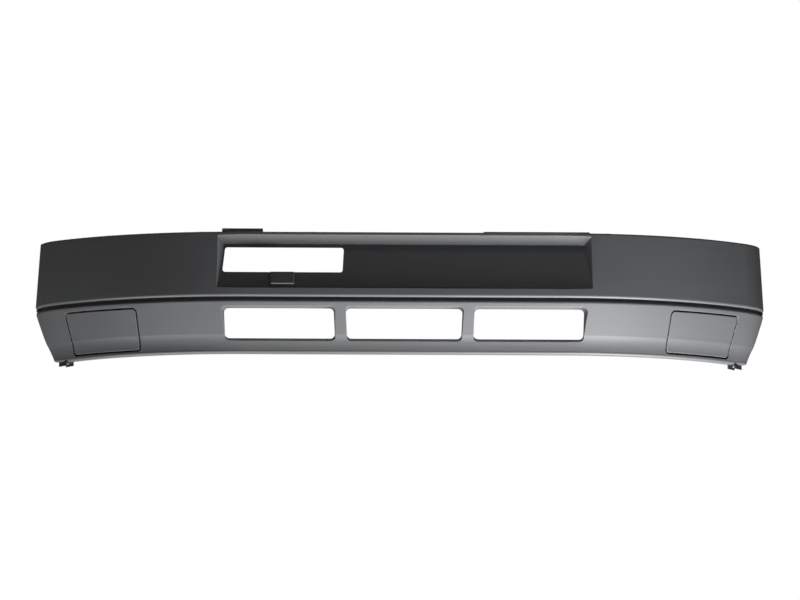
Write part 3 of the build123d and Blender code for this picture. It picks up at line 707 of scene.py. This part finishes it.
@dataclass
class Fasteners:
    """Bolts, nuts, washers, inserts and screws, each group replacing its plain node."""

    layout: Layout
    body: str = "cover"
    rail_bolt: ScrewShape = ScrewShape(
        shank_mm=4.0, reach_mm=28.1, head_mm=13.0, head_high_mm=5.3, pitch_mm=1.25,
        drive=Drive.HEXAGON)
    rail_washer: RingShape = RingShape(bore_mm=4.3, wide_mm=20.0, high_mm=1.6)
    boss_insert: RingShape = RingShape(
        bore_mm=4.1, wide_mm=11.0, high_mm=20.0, sides=144, knurl_mm=0.35, knurl_teeth=36)
    bracket_bolt: ScrewShape = ScrewShape(
        shank_mm=5.0, reach_mm=19.0, head_mm=16.0, head_high_mm=6.4, pitch_mm=1.5,
        drive=Drive.HEXAGON)
    bracket_nut: RingShape = RingShape(bore_mm=5.1, wide_mm=16.0, high_mm=8.0, hexagonal=True)
    seam_screw: ScrewShape = ScrewShape(
        shank_mm=2.4, reach_mm=16.0, head_mm=9.0, head_high_mm=2.6, pitch_mm=1.8,
        drive=Drive.CROSS, sides=36)
    foot_screw: ScrewShape = ScrewShape(
        shank_mm=2.4, reach_mm=10.5, head_mm=9.0, head_high_mm=2.6, pitch_mm=1.8,
        drive=Drive.CROSS, sides=36)
    foot_nut: RingShape = RingShape(bore_mm=2.5, wide_mm=8.0, high_mm=3.6, hexagonal=True)

    def place(self, name: str, node: str, finish: Finish, shape: Union[ScrewShape, RingShape],
              seats: Sequence[Seat], slot: str) -> None:
        """Make one group of identical fasteners and let it stand for its node.

        Args:
            name: Name of the piece.
            node: Node that it replaces.
            finish: Finish of the group.
            shape: Shape of one fastener.
            seats: Where the fasteners sit.
            slot: Name of a material slot; not used.
        """
        surface = Surface()
        for seat in seats:
            shape.add_to(surface, seat)
        piece = surface.piece(name, finish)
        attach(piece, self.body)
        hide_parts(node)
        LOG.info("made %s: %d fasteners, %d faces", name, len(seats), len(piece.data.polygons))

    def row(self, xs: Sequence[float], depth: float, rise: float, axis: Triple) -> list[Seat]:
        """Seats at one depth and rise."""
        return [Seat(self.layout.point(x, depth, rise), axis) for x in xs]

    def spread(self, spots: Sequence[tuple[float, float]], rise: float,
               axis: Triple) -> list[Seat]:
        """Seats at one rise, each with its own place across and depth."""
        return [Seat(self.layout.point(x, depth, rise), axis) for x, depth in spots]

    def build(self) -> None:
        """Make every group."""
        self.build_rail_groups()
        self.build_bracket_groups()
        self.build_seam_group()
        self.build_foot_groups()

    def build_rail_groups(self) -> None:
        """Make the bolts, washers and inserts that hold the rail to its bosses."""
        lay = self.layout
        web_back = lay.rail_depth + lay.rail_sheet
        head = self.row(lay.boss_x, web_back + self.rail_washer.high_mm, lay.boss_rise, BACK)
        self.place("rail_bolts_threaded", "rail_bolts", Finish.ZINC, self.rail_bolt, head,
                   "zinc_steel")
        washer = self.row(lay.boss_x, web_back, lay.boss_rise, BACK)
        self.place("rail_washers_pressed", "rail_washers", Finish.ZINC, self.rail_washer, washer,
                   "zinc_steel")
        insert = self.row(lay.boss_x, lay.rail_depth - self.boss_insert.high_mm, lay.boss_rise,
                          BACK)
        self.place("boss_inserts_knurled", "boss_inserts", Finish.BRASS, self.boss_insert,
                   insert, "brass")

    def build_bracket_groups(self) -> None:
        """Make the bolts and nuts that hold the chassis brackets to the rail."""
        lay = self.layout
        xs, rise = lay.bracket_bolt_x(), lay.bracket_bolt_rise
        plate_back = lay.rail_depth + lay.rail_sheet + lay.bracket_sheet
        self.place("bracket_bolts_threaded", "bracket_bolts", Finish.ZINC, self.bracket_bolt,
                   self.row(xs, lay.rail_depth, rise, FRONT), "zinc_steel")
        self.place("bracket_nuts_hexagon", "bracket_nuts", Finish.ZINC, self.bracket_nut,
                   self.row(xs, plate_back, rise, BACK), "zinc_steel")

    def build_seam_group(self) -> None:
        """Make the screws of the waist joint, heads down."""
        seats = self.spread(self.layout.seam_spots(), 0.0, DOWN)
        self.place("seam_screws_cross_head", "seam_screws", Finish.ZINC, self.seam_screw, seats,
                   "zinc_steel")

    def build_foot_groups(self) -> None:
        """Make the screws of the end brackets, heads up, and their nuts underneath."""
        lay = self.layout
        head = self.spread(lay.foot_spots(), lay.underside + lay.wall, UP)
        self.place("end_bracket_screws_cross_head", "end_bracket_screws", Finish.ZINC,
                   self.foot_screw, head, "zinc_steel")
        nut = self.spread(lay.foot_spots(), lay.underside - lay.foot_sheet, DOWN)
        self.place("end_bracket_nuts_hexagon", "end_bracket_nuts", Finish.ZINC, self.foot_nut,
                   nut, "zinc_steel")


# ---------------------------------------------------------------- studio
@dataclass(frozen=True)
class Lamp:
    """One soft rectangular lamp, aimed at a point."""

    name: str
    place: Triple
    aim: Triple
    size: tuple[float, float]
    watts: float

    def build(self) -> None:
        """Make the lamp, hidden from the camera."""
        light = bpy.data.lights.new(self.name, "AREA")
        light.shape = "RECTANGLE"
        light.size, light.size_y = self.size
        light.energy = self.watts
        lamp = bpy.data.objects.new(self.name, light)
        lamp.visible_camera = False
        towards = (Vector(self.aim) - Vector(self.place)).to_track_quat("-Z", "Y")
        lamp.matrix_world = Matrix.Translation(self.place) @ towards.to_matrix().to_4x4()
        bpy.context.scene.collection.objects.link(lamp)


@dataclass
class Studio:
    """White room with lamps, a camera and a pale floor that exists only as seen from above."""

    azimuth: float = -2.3
    elevation: float = -6.7
    distance: float = 60.0          # far off, so that the ends hardly shrink
    frame_width: float = 2.16       # width seen at the front of the cover
    aim: Triple = (-0.0135, -0.1725, 0.1514)
    sensor_mm: float = 36.0
    clip_end: float = 200.0
    ambient: float = 0.05
    floor_half: float = 8.0
    floor_colour: str = "#e9e9e7"
    lamps: tuple[Lamp, ...] = (
        Lamp("key_below_right", place=(0.9, -0.52, -1.3), aim=(0.5, -0.1, 0.15),
             size=(1.2, 0.3), watts=112.0),
        Lamp("front_below_right", place=(0.6, -0.8, -1.1), aim=(0.3, -0.1, 0.3),
             size=(0.8, 0.2), watts=6.0),
        Lamp("fill_below_left", place=(-1.2, -0.3, -1.4), aim=(-0.8, 0.05, 0.15),
             size=(0.9, 0.2), watts=36.0),
        Lamp("front_above_right", place=(0.9, -1.6, 2.0), aim=(0.2, -0.1, 0.25),
             size=(1.0, 0.6), watts=5.0),
        Lamp("top_soft", place=(0.0, 0.8, 2.8), aim=(0.0, 0.3, 0.0),
             size=(3.2, 1.6), watts=55.0),
        Lamp("back_soft", place=(0.3, 3.4, 1.8), aim=(0.0, 0.0, 0.15),
             size=(2.6, 1.2), watts=45.0),
    )

    def build(self) -> None:
        """Make the room, the floor, the lamps and the camera."""
        self.build_world()
        self.build_floor()
        for lamp in self.lamps:
            lamp.build()
        self.build_camera()

    def build_world(self) -> None:
        """Make a white background to look at, with a dimmer even light from it."""
        world = bpy.data.worlds.new("white_room")
        world.use_nodes = True
        tree = world.node_tree
        tree.nodes.clear()
        white = (1.0, 1.0, 1.0, 1.0)
        seen = add_node(tree, "ShaderNodeLightPath").outputs["Is Camera Ray"]
        dim = add_node(tree, "ShaderNodeBackground", {"Color": white, "Strength": self.ambient})
        full = add_node(tree, "ShaderNodeBackground", {"Color": white, "Strength": 1.0})
        mixed = add_node(tree, "ShaderNodeMixShader", {
            0: seen, 1: dim.outputs[0], 2: full.outputs[0]})
        add_node(tree, "ShaderNodeOutputWorld", {"Surface": mixed.outputs[0]})
        bpy.context.scene.world = world
        bpy.context.scene.view_settings.view_transform = "Standard"

    def build_floor(self) -> None:
        """Make the floor at the level of the feet, open to light and to sight from underneath."""
        material, tree = blank_material("painted_board_matt_pale")
        shadow = add_node(tree, "ShaderNodeLightPath").outputs["Is Shadow Ray"]
        under = add_node(tree, "ShaderNodeNewGeometry").outputs["Backfacing"]
        either = add_node(tree, "ShaderNodeMath", {0: shadow, 1: under}, operation="MAXIMUM")
        board = add_node(tree, "ShaderNodeBsdfDiffuse", {"Color": linear(self.floor_colour)})
        clear = add_node(tree, "ShaderNodeBsdfTransparent")
        mixed = add_node(tree, "ShaderNodeMixShader", {
            0: either.outputs[0], 1: board.outputs[0], 2: clear.outputs[0]})
        add_node(tree, "ShaderNodeOutputMaterial", {"Surface": mixed.outputs[0]})
        half = self.floor_half
        corners = [(-half, -half, 0.0), (half, -half, 0.0), (half, half, 0.0),
                   (-half, half, 0.0)]
        mesh = bpy.data.meshes.new("floor")
        mesh.from_pydata(corners, [], [(0, 1, 2, 3)])
        mesh.materials.append(material)
        floor = bpy.data.objects.new("floor", mesh)
        bpy.context.scene.collection.objects.link(floor)

    def build_camera(self) -> None:
        """Make a long-lens camera, a little below and to the left of the cover's middle."""
        turn, lift = math.radians(self.azimuth), math.radians(self.elevation)
        back = Vector((math.sin(turn) * math.cos(lift), -math.cos(turn) * math.cos(lift),
                       math.sin(lift)))
        data = bpy.data.cameras.new("camera")
        data.sensor_width = self.sensor_mm
        data.lens = self.sensor_mm * self.distance / self.frame_width
        data.clip_end = self.clip_end
        camera = bpy.data.objects.new("camera", data)
        spot = Vector(self.aim) + back * self.distance
        facing = (-back).to_track_quat("-Z", "Y").to_matrix().to_4x4()
        camera.matrix_world = Matrix.Translation(spot) @ facing
        bpy.context.scene.collection.objects.link(camera)
        bpy.context.scene.camera = camera


def main() -> None:
    """Load the frame, dress it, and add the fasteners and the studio."""
    logging.basicConfig(level=logging.INFO, format="%(name)s: %(message)s")
    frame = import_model()
    MouldedShells().build(frame["nodes"])
    PressedSteel().build(frame["nodes"])
    Fasteners(Layout()).build()
    Studio().build()


if __name__ == "__main__":
    main()
